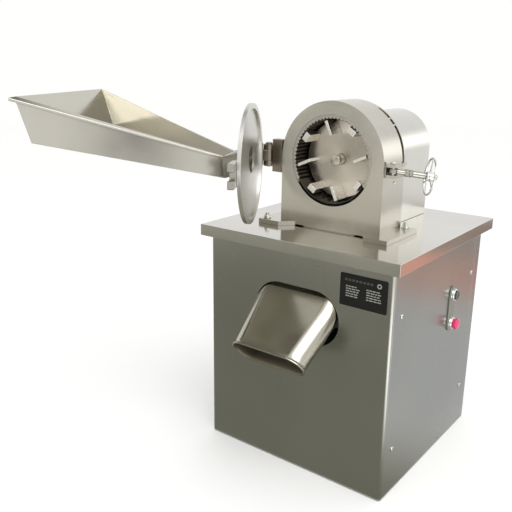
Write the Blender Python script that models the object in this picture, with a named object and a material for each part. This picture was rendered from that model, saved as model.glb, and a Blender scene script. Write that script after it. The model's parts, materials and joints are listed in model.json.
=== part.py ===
"""A stainless steel hammer mill on a floor cabinet.

Material goes into the hopper, through the door's inlet into the grinding chamber, where four beater
blades and four pegs on a spinning disc throw it against a toothed ring. What is fine enough falls
through the screen and down the chute at the front. A motor in the cabinet drives the shaft by two belts.

Metres, +Z up. The origin is on the floor, at the centre of the cabinet's underside. The chute is at the
front (-Y). The door stands open, and all of its pieces are modelled closed and turned by their empty.
"""

import math

import bmesh
import bpy
from mathutils import Matrix

GAP = 0.0003  # between pieces that touch

# cabinet
CABINET_HALF_X = 0.235
CABINET_HALF_Y = 0.2355
SHEET = 0.002
SLAB_LOW = 0.5126
SLAB_TOP = 0.5386
SLAB_OVERHANG = 0.018
SLAB_SHEET = 0.003
REAR_RETURN = 0.035
PAN_HEIGHT = 0.025
SCREW_RADIUS = 0.0055

# mill, all round the shaft
SHAFT_X = 0.010
SHAFT_Z = 0.695
HOUSING_RADIUS = 0.1285
HOUSING_FRONT = -0.122
HOUSING_REAR = -0.024
CHAMBER_RADIUS = 0.0994
CHAMBER_REAR = -0.036
FOOT_HEIGHT = 0.010
FOOT_FRONT, FOOT_REAR = -0.153, -0.008
FACE_CLEARANCE = 0.0025  # under the housing, between its feet
TOOTH_TIP = 0.0907
TOOTH_ROOT = 0.0945
TEETH = 44
RING_START, RING_END = -30, 210  # degrees, anticlockwise from +X seen from the front
SCREEN_RADIUS = 0.0923
DISC_RADIUS = 0.086
DISC_FRONT = -0.079
DISC_REAR = -0.069
BEATER_FRONT = -0.1213
PEG_RADIUS = 0.081
BLADE_ANGLE, PEG_ANGLE, BLADE_LEAN = 8, 54.5, 16

# outlet, straight down from the screen and then down the chute
OUTLET_HALF_X = 0.060
OUTLET_FRONT, OUTLET_REAR = -0.114, -0.046
CHUTE_SLOPE = math.radians(38.4)
CHUTE_HALF_WIDTH = 0.1025
CHUTE_MOUTH_HALF_WIDTH = 0.0875
CHUTE_HALF_HEIGHT = 0.032
CHUTE_X = 0.0075
CHUTE_PANEL_Z = 0.384
CHUTE_REACH = 0.130

# drive
MOTOR_Z = 0.150
PULLEY_Y = 0.085
MOTOR_PULLEY_RADIUS = 0.065
SHAFT_PULLEY_RADIUS = 0.038
BELT_PITCH = 0.018
BELT_WIDTH = 0.013
BELT_THICKNESS = 0.008
GUARD_RADIUS = 0.088
GUARD_Z = SHAFT_Z + 0.010
GUARD_FRONT, GUARD_REAR = 0.016, 0.195

# door, in its own frame: the hinge's axis is its origin, and closed it lies along +X
HINGE = (-0.1612, -0.1157, SHAFT_Z)
DOOR_OPEN = 62.5
DOOR_X = SHAFT_X - HINGE[0]
DOOR_RADIUS = 0.125
DOOR_INNER = HOUSING_FRONT - GAP - HINGE[1]
DOOR_OUTER = DOOR_INNER - 0.008
DOOR_RECESS = 0.005
DOOR_RIM = 0.0105
INLET_X, INLET_Z, INLET_RADIUS = DOOR_X - 0.014, 0.009, 0.0285
BARREL_RADIUS = 0.0125
BARREL_LOW, BARREL_HIGH = -0.027, 0.023
KNUCKLE_LOW, KNUCKLE_HIGH = -0.0147, 0.0107
STRAP = 0.012
LUG_X = DOOR_X + DOOR_RADIUS + 0.024
LUG_Z, LUG_SLOT = -0.003, 0.0085

# hopper: how far out from the door, half width and height at each of its corners
HOPPER_SHIFT, HOPPER_YAW = -0.0024, math.radians(1.5)
HOPPER_NEAR = 0.0513
NEAR_TOP, NEAR_LOW = (0.051, 0.021), (0.041, -0.025)
FAR_TOP, FAR_LOW = (0.4253, 0.2045, 0.137), (0.3918, 0.193, 0.052)

# swing bolt, which pivots on the housing's right side
# The eye is loose on its pin: the bolt hangs a little low at rest, and lifts a little where it is closed.
PIVOT = (0.150, -0.103, 0.6865)
BOLT_REST, BOLT_DROOP = 38, 8.2
BOLT_RADIUS = 0.005
EYE_RADIUS, EYE_HALF_HEIGHT, EYE_HOLE = 0.009, 0.0045, 0.0052
CLEVIS_PIN_RADIUS = 0.0035
CLEVIS_GAP, CLEVIS_HALF_HEIGHT = 0.008, 0.0145
CLEVIS_FRONT, CLEVIS_REAR = -0.115, -0.062
WHEEL_AT = 0.078
WHEEL_RADIUS = 0.038

# switches, on the right side
SWITCH_Y = 0.072
START_Z, STOP_Z = 0.387, 0.317
BUTTON_RADIUS = 0.0108
STOP_HEAD_RADIUS = 0.0138
BUTTON_HOLE = BUTTON_RADIUS + 0.0004

FINISHES = {
    "brushed_steel": ((0.55, 0.54, 0.50), 0.35, 1.0),
    "cast_steel": ((0.42, 0.41, 0.38), 0.45, 1.0),
    "polished_steel": ((0.68, 0.67, 0.63), 0.18, 1.0),
    "zinc": ((0.62, 0.62, 0.60), 0.35, 1.0),
    "perforated_steel": ((0.50, 0.50, 0.48), 0.40, 1.0),
    "motor_paint": ((0.10, 0.16, 0.20), 0.50, 0.0),
    "cast_iron": ((0.16, 0.16, 0.16), 0.60, 0.8),
    "belt_rubber": ((0.02, 0.02, 0.02), 0.80, 0.0),
    "black_plate": ((0.03, 0.03, 0.03), 0.45, 0.2),
    "switch_plate": ((0.42, 0.43, 0.38), 0.50, 0.0),
    "start_green": ((0.04, 0.20, 0.08), 0.35, 0.0),
    "stop_red": ((0.62, 0.03, 0.08), 0.35, 0.0),
    "chrome": ((0.80, 0.80, 0.80), 0.10, 1.0),
}


def clear_scene():
    for thing in list(bpy.data.objects):
        bpy.data.objects.remove(thing, do_unlink=True)


def make_material(name):
    colour, roughness, metallic = FINISHES[name]
    material = bpy.data.materials.new(name)
    material.use_nodes = True
    shader = material.node_tree.nodes["Principled BSDF"]
    shader.inputs["Base Color"].default_value = (*colour, 1)
    shader.inputs["Roughness"].default_value = roughness
    shader.inputs["Metallic"].default_value = metallic
    return material


# ---- shapes: each returns a bmesh


def along(axis, a, b, t):
    """The point at (a, b) across an axis and t along it."""
    return {"X": (t, a, b), "Y": (a, t, b), "Z": (a, b, t)}[axis]


def skin(mesh, rings, closed=False):
    """Quads between each ring of vertices and the next."""
    following = rings[1:] + (rings[:1] if closed else [])
    for ring, other in zip(rings, following):
        for i in range(len(ring)):
            j = (i + 1) % len(ring)
            mesh.faces.new((ring[i], ring[j], other[j], other[i]))


def faced_out(mesh):
    bmesh.ops.recalc_face_normals(mesh, faces=mesh.faces[:])
    return mesh


def loft(rings, caps):
    """A skin over rings of points, with or without its two ends."""
    mesh = bmesh.new()
    rings = [[mesh.verts.new(point) for point in ring] for ring in rings]
    skin(mesh, rings)
    if caps:
        mesh.faces.new(rings[0])
        mesh.faces.new(rings[-1])
    return faced_out(mesh)


def prism(outline, low, high, axis, caps=True):
    return loft([[along(axis, a, b, t) for a, b in outline] for t in (low, high)], caps)


def arc(radius, start, end, steps, centre=(0, 0)):
    """Points from start to end, in degrees, with both ends."""
    angles = [math.radians(start + (end - start) * i / steps) for i in range(steps + 1)]
    return [(centre[0] + radius * math.cos(a), centre[1] + radius * math.sin(a)) for a in angles]


def circle(radius, sides, centre=(0, 0)):
    return arc(radius, 0, 360, sides, centre)[:-1]


def cylinder(centre, radius, low, high, axis, sides=32):
    return prism(circle(radius, sides, centre), low, high, axis)


def block(low, high):
    corners = [(low[0], low[1]), (high[0], low[1]), (high[0], high[1]), (low[0], high[1])]
    return prism(corners, low[2], high[2], "Z")


def turned(profile, axis, sides=32, centre=(0, 0), bored=False):
    """A profile of (radius, along) points turned about an axis. A bored one closes on itself."""
    mesh = bmesh.new()
    rings = []
    for radius, t in profile:
        ring = [along(axis, a, b, t) for a, b in circle(radius, sides, centre)]
        rings.append([mesh.verts.new(point) for point in ring])
    skin(mesh, rings, closed=bored)
    if not bored:
        mesh.faces.new(rings[0])
        mesh.faces.new(rings[-1])
    return faced_out(mesh)


def tube(centre, inner, outer, low, high, axis, sides=32):
    profile = [(inner, low), (outer, low), (outer, high), (inner, high)]
    return turned(profile, axis, sides, centre, bored=True)


def arch(radius, foot, steps=40, middle=SHAFT_Z):
    """An outline with a round top about the height middle, and straight sides down to foot."""
    round_top = arc(radius, 0, 180, steps, (SHAFT_X, middle))
    return round_top + [(SHAFT_X - radius, foot), (SHAFT_X + radius, foot)]


def obround(half_width, half_height, steps=12):
    """A flat oval: two half circles joined by straight runs."""
    straight = half_width - half_height
    right = arc(half_height, -90, 90, steps, (straight, 0))
    left = arc(half_height, 90, 270, steps, (-straight, 0))
    return right + left


def joined(shapes):
    """Several shapes that don't meet, as one mesh, for a cutter."""
    whole = bmesh.new()
    for shape in shapes:
        mesh = bpy.data.meshes.new("shape")
        shape.to_mesh(mesh)
        whole.from_mesh(mesh)
        bpy.data.meshes.remove(mesh)
    return whole


# ---- objects


def add_object(name, shape, parent, at):
    mesh = bpy.data.meshes.new(name)
    shape.to_mesh(mesh)
    shape.free()
    thing = bpy.data.objects.new(name, mesh)
    thing.location = at
    thing.parent = parent
    bpy.context.scene.collection.objects.link(thing)
    return thing


def piece(name, finish, shape, add=(), cut=(), parent=None, at=(0, 0, 0), sheet=0.0):
    """One node: a shape, thickened inwards if it is a sheet, with others joined to it and cut from it."""
    node = add_object(name, shape, parent, at)
    node.data.materials.append(materials[finish])
    node.data.shade_smooth()
    node.data.set_sharp_from_angle(angle=math.radians(35))
    if sheet:
        thicken = node.modifiers.new("Sheet", "SOLIDIFY")
        thicken.thickness = sheet
        thicken.offset = -1
        thicken.use_even_offset = True
    for operation, shapes in (("UNION", add), ("DIFFERENCE", cut)):
        for other in shapes:
            tool = add_object(f"{name}_tool", other, parent, at)
            tool.hide_render = True
            tool.display_type = "WIRE"
            boolean = node.modifiers.new(operation.title(), "BOOLEAN")
            boolean.operation = operation
            boolean.object = tool
    return node


def axis_empty(name, at, turn=0, droop=0):
    empty = bpy.data.objects.new(name, None)
    empty.location = at
    empty.rotation_euler = (0, math.radians(droop), math.radians(turn))
    bpy.context.scene.collection.objects.link(empty)
    return empty


# ---- the cabinet


def chute_opening():
    """The hole in the front panel round the chute, with clearance."""
    low, high = -CABINET_HALF_Y - 0.01, -CABINET_HALF_Y + 0.01
    hole = [(CHUTE_X + a, CHUTE_PANEL_Z - 0.008 + b) for a, b in obround(0.108, 0.062)]
    return prism(hole, low, high, "Y")


def make_cabinet():
    half_x, half_y = CABINET_HALF_X, CABINET_HALF_Y
    inner_y = half_y - SHEET - GAP
    inner_x = half_x - SHEET - GAP
    top = SLAB_TOP - SLAB_SHEET - GAP
    seam_y = half_y - REAR_RETURN

    piece(
        "base_pan", "brushed_steel",
        block((-inner_x, -inner_y, 0), (inner_x, inner_y, PAN_HEIGHT)),
        cut=[block((-inner_x + SHEET, -inner_y + SHEET, SHEET), (inner_x - SHEET, inner_y - SHEET, 0.1))],
    )
    piece(
        "front_panel", "brushed_steel",
        block((-half_x, -half_y, 0), (half_x, -half_y + SHEET, top)),
        cut=[chute_opening()],
    )
    side_low, side_high = (half_x - SHEET, -inner_y, 0), (half_x, seam_y - GAP, top)
    buttons = [
        cylinder((SWITCH_Y, z), BUTTON_HOLE, half_x - 0.01, half_x + 0.01, "X", 24)
        for z in (START_Z, STOP_Z)
    ]
    piece("side_panel", "brushed_steel", block(side_low, side_high), cut=buttons)
    piece(
        "left_panel", "brushed_steel",
        block((-half_x, -inner_y, 0), (-half_x + SHEET, seam_y - GAP, top)),
    )
    piece(
        "rear_panel", "brushed_steel",
        block((-half_x, seam_y, 0), (half_x, half_y, top)),
        cut=[block((-half_x + SHEET, 0, -0.01), (half_x - SHEET, half_y - SHEET, 0.6))],
    )
    screw_places = [(y, z) for y in (-0.193, 0.185) for z in (0.109, 0.412)]
    for number, (y, z) in enumerate(screw_places, 1):
        profile = [(SCREW_RADIUS, GAP), (SCREW_RADIUS, 0.0015), (SCREW_RADIUS * 0.6, 0.003)]
        piece(f"panel_screw_{number}", "zinc", turned(profile, "X", 20), at=(half_x, y, z))
    make_slab()


def make_slab():
    half_x, half_y = CABINET_HALF_X, CABINET_HALF_Y
    over = SLAB_OVERHANG
    low = (-half_x - over, -half_y - over, SLAB_LOW)
    high = (half_x + over, half_y + over, SLAB_TOP)
    wall, ceiling = SLAB_SHEET, SLAB_TOP - SLAB_SHEET
    inside = block(
        (low[0] + wall, low[1] + wall, SLAB_LOW + wall), (high[0] - wall, high[1] - wall, ceiling)
    )
    mouth = block((-half_x - GAP, -half_y - GAP, 0.4), (half_x + GAP, half_y + GAP, ceiling - 0.001))
    outlet = block(
        (SHAFT_X - OUTLET_HALF_X, OUTLET_FRONT, 0.5), (SHAFT_X + OUTLET_HALF_X, OUTLET_REAR, 0.6)
    )
    belt_slot = block((SHAFT_X - 0.062, 0.060, 0.5), (SHAFT_X + 0.062, 0.110, 0.6))
    piece("top_slab", "brushed_steel", block(low, high), cut=[inside, mouth, outlet, belt_slot])


def make_plates():
    """The name plate and the switch plate with its bezels. The buttons move in their holes."""
    front, side = -CABINET_HALF_Y - GAP, CABINET_HALF_X + GAP
    piece("nameplate", "black_plate", block((0.115, front - 0.0012, 0.424), (0.222, front, 0.493)))
    plate = [(SWITCH_Y + b, 0.352 + a) for a, b in obround(0.055, 0.015)]
    holes = [
        cylinder((SWITCH_Y, z), BUTTON_HOLE, side - 0.01, side + 0.01, "X", 24)
        for z in (START_Z, STOP_Z)
    ]
    piece("switch_plate", "switch_plate", prism(plate, side, side + 0.003, "X"), cut=holes)
    for name, z in (("start", START_Z), ("stop", STOP_Z)):
        low, high = side + 0.003 + GAP, side + 0.0105
        ring = [(BUTTON_HOLE, low), (0.0148, low), (0.0148, high - 0.003), (0.013, high), (BUTTON_HOLE, high)]
        piece(f"{name}_bezel", "chrome", turned(ring, "X", 24, (SWITCH_Y, z), bored=True))
    button = [(BUTTON_RADIUS, -0.007), (BUTTON_RADIUS, 0.005), (BUTTON_RADIUS - 0.001, 0.006)]
    stop = [(BUTTON_RADIUS, -0.007), (BUTTON_RADIUS, 0.0065), (STOP_HEAD_RADIUS, 0.0065)]
    stop += [(STOP_HEAD_RADIUS, 0.0115), (STOP_HEAD_RADIUS - 0.003, 0.0142)]
    outer = side + 0.0085
    piece("start_button", "start_green", turned(button, "X", 24), at=(outer, SWITCH_Y, START_Z))
    piece("stop_button", "stop_red", turned(stop, "X", 24), at=(outer, SWITCH_Y, STOP_Z))


def chute_ring(half_width, reach=None, plane=None):
    """One ring of the chute: square across it at reach from the panel, or cut by a level plane."""
    slope = (math.cos(CHUTE_SLOPE), math.sin(CHUTE_SLOPE))
    points = []
    for a, b in obround(half_width, CHUTE_HALF_HEIGHT):
        y, z = -CABINET_HALF_Y - b * slope[1], CHUTE_PANEL_Z + b * slope[0]
        run = reach if plane is None else (z - plane) / slope[1]
        points.append((CHUTE_X + a, y - run * slope[0], z - run * slope[1]))
    return points


def make_chute():
    rings = [
        chute_ring(CHUTE_HALF_WIDTH, plane=SLAB_LOW),
        chute_ring(CHUTE_HALF_WIDTH, reach=0),
        chute_ring(CHUTE_MOUTH_HALF_WIDTH, reach=CHUTE_REACH),
    ]
    piece("discharge_chute", "polished_steel", loft(rings, caps=False), sheet=SHEET)


# ---- the drive


def pulley_profile(radius, bore, half_width=0.018):
    """Two square grooves, each as wide as a belt with its clearance."""
    groove = BELT_WIDTH / 2 + GAP
    floor = radius - BELT_THICKNESS - 2 * GAP
    profile = [(bore, -half_width), (radius, -half_width)]
    for middle in (-BELT_PITCH / 2, BELT_PITCH / 2):
        low, high = middle - groove, middle + groove
        profile += [(radius, low), (floor, low), (floor, high), (radius, high)]
    return profile + [(radius, half_width), (bore, half_width)]


def belt_outline(steps=20):
    """The loop round both pulleys, seen along the shaft, at the belt's outside."""
    large, small = MOTOR_PULLEY_RADIUS - GAP, SHAFT_PULLEY_RADIUS - GAP
    lean = math.degrees(math.asin((large - small) / (SHAFT_Z - MOTOR_Z)))
    upper = arc(small, lean, 180 - lean, steps, (SHAFT_X, SHAFT_Z))
    lower = arc(large, 180 - lean, 360 + lean, steps, (SHAFT_X, MOTOR_Z))
    return upper + lower


def make_motor():
    x, z = SHAFT_X, MOTOR_Z
    piece(
        "motor_base", "cast_iron",
        block((x - 0.09, -0.11, SHEET + GAP), (x + 0.09, 0.02, 0.055)),
        cut=[block((x - 0.08, -0.12, 0), (x + 0.08, 0.03, 0.049))],
    )
    cooling_grooves = joined([
        block((x + side * 0.088 - 0.006, -0.1, z - 0.03 + 0.02 * n),
              (x + side * 0.088 + 0.006, 0.01, z - 0.024 + 0.02 * n))
        for n in range(4) for side in (-1, 1)
    ])
    piece(
        "motor_body", "motor_paint",
        cylinder((x, z), 0.085, -0.105, 0.015, "Y", 40),
        add=[
            block((x - 0.07, -0.1, 0.0553), (x + 0.07, 0.01, z - 0.04)),
            block((x - 0.04, -0.08, z), (x + 0.04, -0.01, z + 0.112)),
        ],
        cut=[cooling_grooves, cylinder((x, z), 0.0124, -0.03, 0.02, "Y")],
    )
    shield = [(0.0124, 0.0153), (0.082, 0.0153), (0.078, 0.028), (0.03, 0.036), (0.0124, 0.036)]
    piece("motor_end_shield", "motor_paint", turned(shield, "Y", 36, (x, z), bored=True))
    cover = [(0.080, -0.1053), (0.080, -0.145), (0.070, -0.152)]
    hollow = cylinder((x, z), 0.076, -0.146, -0.1, "Y", 36)
    air_hole = cylinder((x, z), 0.02, -0.16, -0.14, "Y", 24)
    piece("motor_fan_cover", "motor_paint", turned(cover, "Y", 36, (x, z)), cut=[hollow, air_hole])
    turning = axis_empty("motor_axis", (x, 0, z))
    piece("motor_shaft", "zinc", cylinder((0, 0), 0.012, -0.028, 0.110, "Y", 24), parent=turning)
    groove_profile = [(r, PULLEY_Y + t) for r, t in pulley_profile(MOTOR_PULLEY_RADIUS, 0.0123)]
    piece("motor_pulley", "cast_iron", turned(groove_profile, "Y", 40, bored=True), parent=turning)
    for name, side in (("front", -1), ("rear", 1)):
        middle = PULLEY_Y + side * BELT_PITCH / 2
        low, high = middle - BELT_WIDTH / 2, middle + BELT_WIDTH / 2
        band = prism(belt_outline(), low, high, "Y", caps=False)
        piece(f"{name}_belt", "belt_rubber", band, sheet=BELT_THICKNESS)


# ---- the mill


def make_housing():
    x, top = SHAFT_X, SLAB_TOP + GAP
    foot_top = top + FOOT_HEIGHT
    body = prism(arch(HOUSING_RADIUS, top + FACE_CLEARANCE, 48), HOUSING_FRONT, HOUSING_REAR, "Y")
    feet = [
        prism([(outer, FOOT_FRONT), (inner, FOOT_FRONT), (under, HOUSING_FRONT - 0.001),
               (under, FOOT_REAR), (outer, FOOT_REAR)], top, foot_top, "Z")
        for outer, inner, under in ((-0.160, -0.104, -0.078), (0.172, 0.116, 0.108))
    ]
    collar = block((x - 0.066, OUTLET_FRONT - 0.005, top), (x + 0.066, OUTLET_REAR + 0.005, foot_top))
    chamber = cylinder((x, SHAFT_Z), CHAMBER_RADIUS, HOUSING_FRONT - 0.01, CHAMBER_REAR, "Y", 64)
    shaft_hole = cylinder((x, SHAFT_Z), 0.018, -0.05, 0, "Y")
    outlet = block((x - OUTLET_HALF_X, OUTLET_FRONT, 0.5), (x + OUTLET_HALF_X, OUTLET_REAR, SHAFT_Z))
    piece("mill_housing", "cast_steel", body, add=[*feet, collar], cut=[chamber, shaft_hole, outlet])
    for name, place in (("left", (-0.147, -0.137)), ("right", (0.1485, -0.018))):
        washer = cylinder((0, 0), 0.009, GAP, 0.002, "Z", 20)
        head = prism(circle(0.0075, 6), 0.0015, 0.008, "Z")
        stud = cylinder((0, 0), 0.005, 0.005, 0.013, "Z", 16)
        piece(f"{name}_foot_bolt", "zinc", washer, add=[head, stud], at=(*place, foot_top))


def make_ring_and_screen():
    centre = (SHAFT_X, SHAFT_Z)
    outer = arc(CHAMBER_RADIUS - GAP, RING_START, RING_END, 60, centre)
    pitch = (RING_END - RING_START) / TEETH
    inner = []
    for n in range(TEETH):
        start = RING_END - n * pitch
        for share, radius in ((0.0, TOOTH_ROOT), (0.28, TOOTH_TIP), (0.72, TOOTH_TIP)):
            inner += arc(radius, start - share * pitch, 0, 1, centre)[:1]
    inner += arc(TOOTH_ROOT, RING_START, 0, 1, centre)[:1]
    low, high = HOUSING_FRONT + GAP, CHAMBER_REAR - GAP
    piece("toothed_ring", "cast_steel", prism(outer + inner, low, high, "Y"))

    first, last = RING_END - 360 + 1.5, RING_START - 1.5
    band = arc(SCREEN_RADIUS, first, last, 30, centre)
    band += arc(SCREEN_RADIUS + SHEET, last, first, 30, centre)
    slots = []
    for column in range(9):
        angle = math.radians(-90 + 9 * (column - 4))
        for row in range(3):
            y = -0.098 + 0.018 * row
            slot = block((-0.0025, y - 0.006, -0.1), (0.0025, y + 0.006, -0.088))
            turn = Matrix.Rotation(-angle - math.pi / 2, 4, "Y")
            slot.transform(Matrix.Translation((SHAFT_X, 0, SHAFT_Z)) @ turn)
            slots.append(slot)
    piece("screen", "perforated_steel", prism(band, low, high, "Y"), cut=[joined(slots)])


def make_rotor():
    turning = axis_empty("rotor_axis", (SHAFT_X, 0, SHAFT_Z))
    shaft = [
        (0.008, -0.097), (0.008, DISC_FRONT), (0.012, DISC_FRONT), (0.012, -0.0447),
        (0.015, -0.0447), (0.015, 0.050), (0.012, 0.050), (0.012, 0.110),
    ]
    piece("main_shaft", "zinc", turned(shaft, "Y"), parent=turning)
    hub = [
        (0.0123, DISC_FRONT), (DISC_RADIUS, DISC_FRONT), (DISC_RADIUS, DISC_REAR),
        (0.030, DISC_REAR), (0.030, -0.045), (0.0123, -0.045),
    ]
    piece("rotor_disc", "brushed_steel", turned(hub, "Y", 64, bored=True), parent=turning)
    nut = [(0.0083, DISC_FRONT - GAP), (0.012, DISC_FRONT - GAP), (0.012, -0.102), (0.010, -0.104)]
    nut += [(0.0083, -0.104)]
    piece("hub_nut", "zinc", turned(nut, "Y", 24, bored=True), parent=turning)
    rear = DISC_FRONT - GAP
    for n in range(4):
        peg = math.radians(PEG_ANGLE + 90 * n)
        outline = turned_rectangle(PEG_RADIUS, 0.0065, 0.010, peg, peg)
        piece(f"peg_{n + 1}", "polished_steel", prism(outline, BEATER_FRONT, rear, "Y"), parent=turning)
        blade = math.radians(BLADE_ANGLE + 90 * n)
        outline = turned_rectangle(0.071, 0.0168, 0.0035, blade, blade + math.radians(BLADE_LEAN))
        name = f"beater_blade_{n + 1}"
        piece(name, "polished_steel", prism(outline, BEATER_FRONT, rear, "Y"), parent=turning)
    profile = [(r, PULLEY_Y + t) for r, t in pulley_profile(SHAFT_PULLEY_RADIUS, 0.0123)]
    piece("shaft_pulley", "cast_iron", turned(profile, "Y", bored=True), parent=turning)


def turned_rectangle(radius, half_long, half_wide, place, lean):
    """A rectangle centred on a circle, its long side turned to the angle lean."""
    x, z = radius * math.cos(place), radius * math.sin(place)
    c, s = math.cos(lean), math.sin(lean)
    corners = [(-1, -1), (1, -1), (1, 1), (-1, 1)]
    return [
        (x + i * half_long * c - j * half_wide * s, z + i * half_long * s + j * half_wide * c)
        for i, j in corners
    ]


def make_bearings():
    centre = (SHAFT_X, SHAFT_Z)
    rear = HOUSING_REAR + GAP
    profile = [
        (0.0313, rear), (0.060, rear), (0.060, rear + 0.010), (0.042, rear + 0.010),
        (0.040, 0.046), (0.0313, 0.046),
    ]
    piece("bearing_housing", "cast_iron", turned(profile, "Y", 40, centre, bored=True))
    for name, low in (("front_bearing", -0.018), ("rear_bearing", 0.026)):
        piece(name, "zinc", tube(centre, 0.0153, 0.031, low, low + 0.016, "Y"))


def make_guard():
    """The belt guard: an arch of sheet closed at the rear, with a flange at the front, on three spacers."""
    foot = SLAB_TOP + GAP
    low, high = GUARD_FRONT - 0.01, GUARD_FRONT + 0.01
    window = cylinder((SHAFT_X, SHAFT_Z), 0.066, low, high, "Y", 48)
    below_window = block((SHAFT_X - 0.066, low, 0.5), (SHAFT_X + 0.066, high, SHAFT_Z))
    outline = arch(GUARD_RADIUS, foot, middle=GUARD_Z)
    hollow_outline = arch(GUARD_RADIUS - SHEET, foot - 0.01, middle=GUARD_Z)
    hollow = prism(hollow_outline, GUARD_FRONT + SHEET, GUARD_REAR - SHEET, "Y")
    piece(
        "belt_guard", "brushed_steel", prism(outline, GUARD_FRONT, GUARD_REAR, "Y"),
        cut=[hollow, window, below_window],
    )
    low, high = HOUSING_REAR + GAP, GUARD_FRONT - GAP
    for n, angle in enumerate((43, 90, 137), 1):
        place = arc(0.0775, angle, 0, 1, (SHAFT_X, GUARD_Z))[0]
        piece(f"guard_spacer_{n}", "zinc", cylinder(place, 0.005, low, high, "Y", 16))


# ---- the door and its hopper


def make_hinge():
    x, y, z = HINGE
    face = SHAFT_X - HOUSING_RADIUS - GAP - x
    barrels = [
        cylinder((0, 0), BARREL_RADIUS, low, high, "Z", 28)
        for low, high in ((BARREL_LOW, KNUCKLE_LOW - GAP), (KNUCKLE_HIGH + GAP, BARREL_HIGH))
    ]
    leaves = [
        block((0, -0.006, low), (0.02, 0.006, high))
        for low, high in ((BARREL_LOW, KNUCKLE_LOW - GAP), (KNUCKLE_HIGH + GAP, BARREL_HIGH))
    ]
    piece(
        "hinge_bracket", "cast_steel", block((0.016, -0.0077, -0.038), (face, 0.012, 0.036)),
        add=leaves + barrels, cut=[cylinder((0, 0), 0.0053, -0.05, 0.05, "Z", 24)], at=HINGE,
    )
    pin = [(0.005, BARREL_LOW - 0.002), (0.005, BARREL_HIGH + GAP), (0.008, BARREL_HIGH + GAP)]
    pin += [(0.008, BARREL_HIGH + 0.003), (0.006, BARREL_HIGH + 0.004)]
    piece("hinge_pin", "zinc", turned(pin, "Z", 24), at=HINGE)


def make_door():
    door = axis_empty("door_axis", HINGE, -DOOR_OPEN)
    plate = cylinder((DOOR_X, 0), DOOR_RADIUS, DOOR_OUTER, DOOR_INNER, "Y", 72)
    recess = cylinder(
        (DOOR_X, 0), DOOR_RADIUS - DOOR_RIM, DOOR_INNER - DOOR_RECESS, DOOR_INNER + 0.01, "Y", 72
    )
    inlet = cylinder((INLET_X, INLET_Z), INLET_RADIUS, DOOR_OUTER - 0.01, DOOR_INNER + 0.01, "Y", 36)
    piece("door_plate", "polished_steel", plate, cut=[recess, inlet], parent=door)

    back = DOOR_OUTER - GAP
    strap = block((-BARREL_RADIUS, back - STRAP, BARREL_LOW), (0.078, back, BARREL_HIGH))
    web = block((-BARREL_RADIUS, back - 0.001, KNUCKLE_LOW), (BARREL_RADIUS, 0, KNUCKLE_HIGH))
    knuckle = cylinder((0, 0), BARREL_RADIUS, KNUCKLE_LOW, KNUCKLE_HIGH, "Z", 28)
    pin_hole = cylinder((0, 0), 0.0053, -0.05, 0.05, "Z", 24)
    piece("door_arm", "cast_steel", strap, add=[web, knuckle], cut=[pin_hole], parent=door)

    lug = block((LUG_X - 0.049, back - 0.0134, LUG_Z - 0.025), (LUG_X, back, LUG_Z + 0.025))
    slot = block(
        (LUG_X - 0.020, back - 0.03, LUG_Z - LUG_SLOT), (LUG_X + 0.01, back + 0.01, LUG_Z + LUG_SLOT)
    )
    piece("clamp_lug", "cast_steel", lug, cut=[slot], parent=door)
    make_hopper(door)


def hopper_point(across, out, up):
    """A point of the hopper, which stands a little askew on the door."""
    c, s = math.cos(HOPPER_YAW), math.sin(HOPPER_YAW)
    return (DOOR_X + HOPPER_SHIFT + across * c - out * s, DOOR_INNER - across * s - out * c, up)


def trough_ring(top, low):
    """The four corners of a section, from (out, half width, height) at its top and at its bottom."""
    return [
        hopper_point(side * half_width, out, up)
        for side, (out, half_width, up) in ((-1, low), (1, low), (1, top), (-1, top))
    ]


def neck_rings(inset):
    """The neck's round end and its four-sided end, with as many points each, set in from the outside."""
    def narrowed(half_width, up):
        return (HOPPER_NEAR - GAP, half_width - inset, up - math.copysign(inset, up))

    corners = trough_ring(narrowed(*NEAR_TOP), narrowed(*NEAR_LOW))
    reach = INLET_RADIUS + SHEET - inset
    round_end, square_end = [], []
    for side in range(4):
        here, after = corners[side], corners[(side + 1) % 4]
        for step in range(6):
            share = step / 6
            square_end.append(tuple(p + (q - p) * share for p, q in zip(here, after)))
            angle = math.radians(225 + 90 * (side + share))
            across, up = reach * math.cos(angle), reach * math.sin(angle)
            round_end.append((INLET_X + across, DOOR_OUTER - GAP, INLET_Z + up))
    return round_end, square_end


def make_hopper(door):
    outer_round, outer_square = neck_rings(0)
    inner_round, inner_square = neck_rings(SHEET)
    neck = bmesh.new()
    rings = [outer_round, outer_square, inner_square, inner_round]
    skin(neck, [[neck.verts.new(point) for point in ring] for ring in rings], closed=True)
    piece("inlet_neck", "brushed_steel", faced_out(neck), parent=door)

    mesh = bmesh.new()
    near = [mesh.verts.new(p) for p in trough_ring((HOPPER_NEAR, *NEAR_TOP), (HOPPER_NEAR, *NEAR_LOW))]
    far = [mesh.verts.new(p) for p in trough_ring(FAR_TOP, FAR_LOW)]
    for i, j in ((0, 1), (1, 2), (3, 0)):
        mesh.faces.new((near[i], near[j], far[j], far[i]))
    mesh.faces.new(far)
    piece("hopper", "brushed_steel", faced_out(mesh), parent=door, sheet=SHEET)


# ---- the swing bolt


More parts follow.
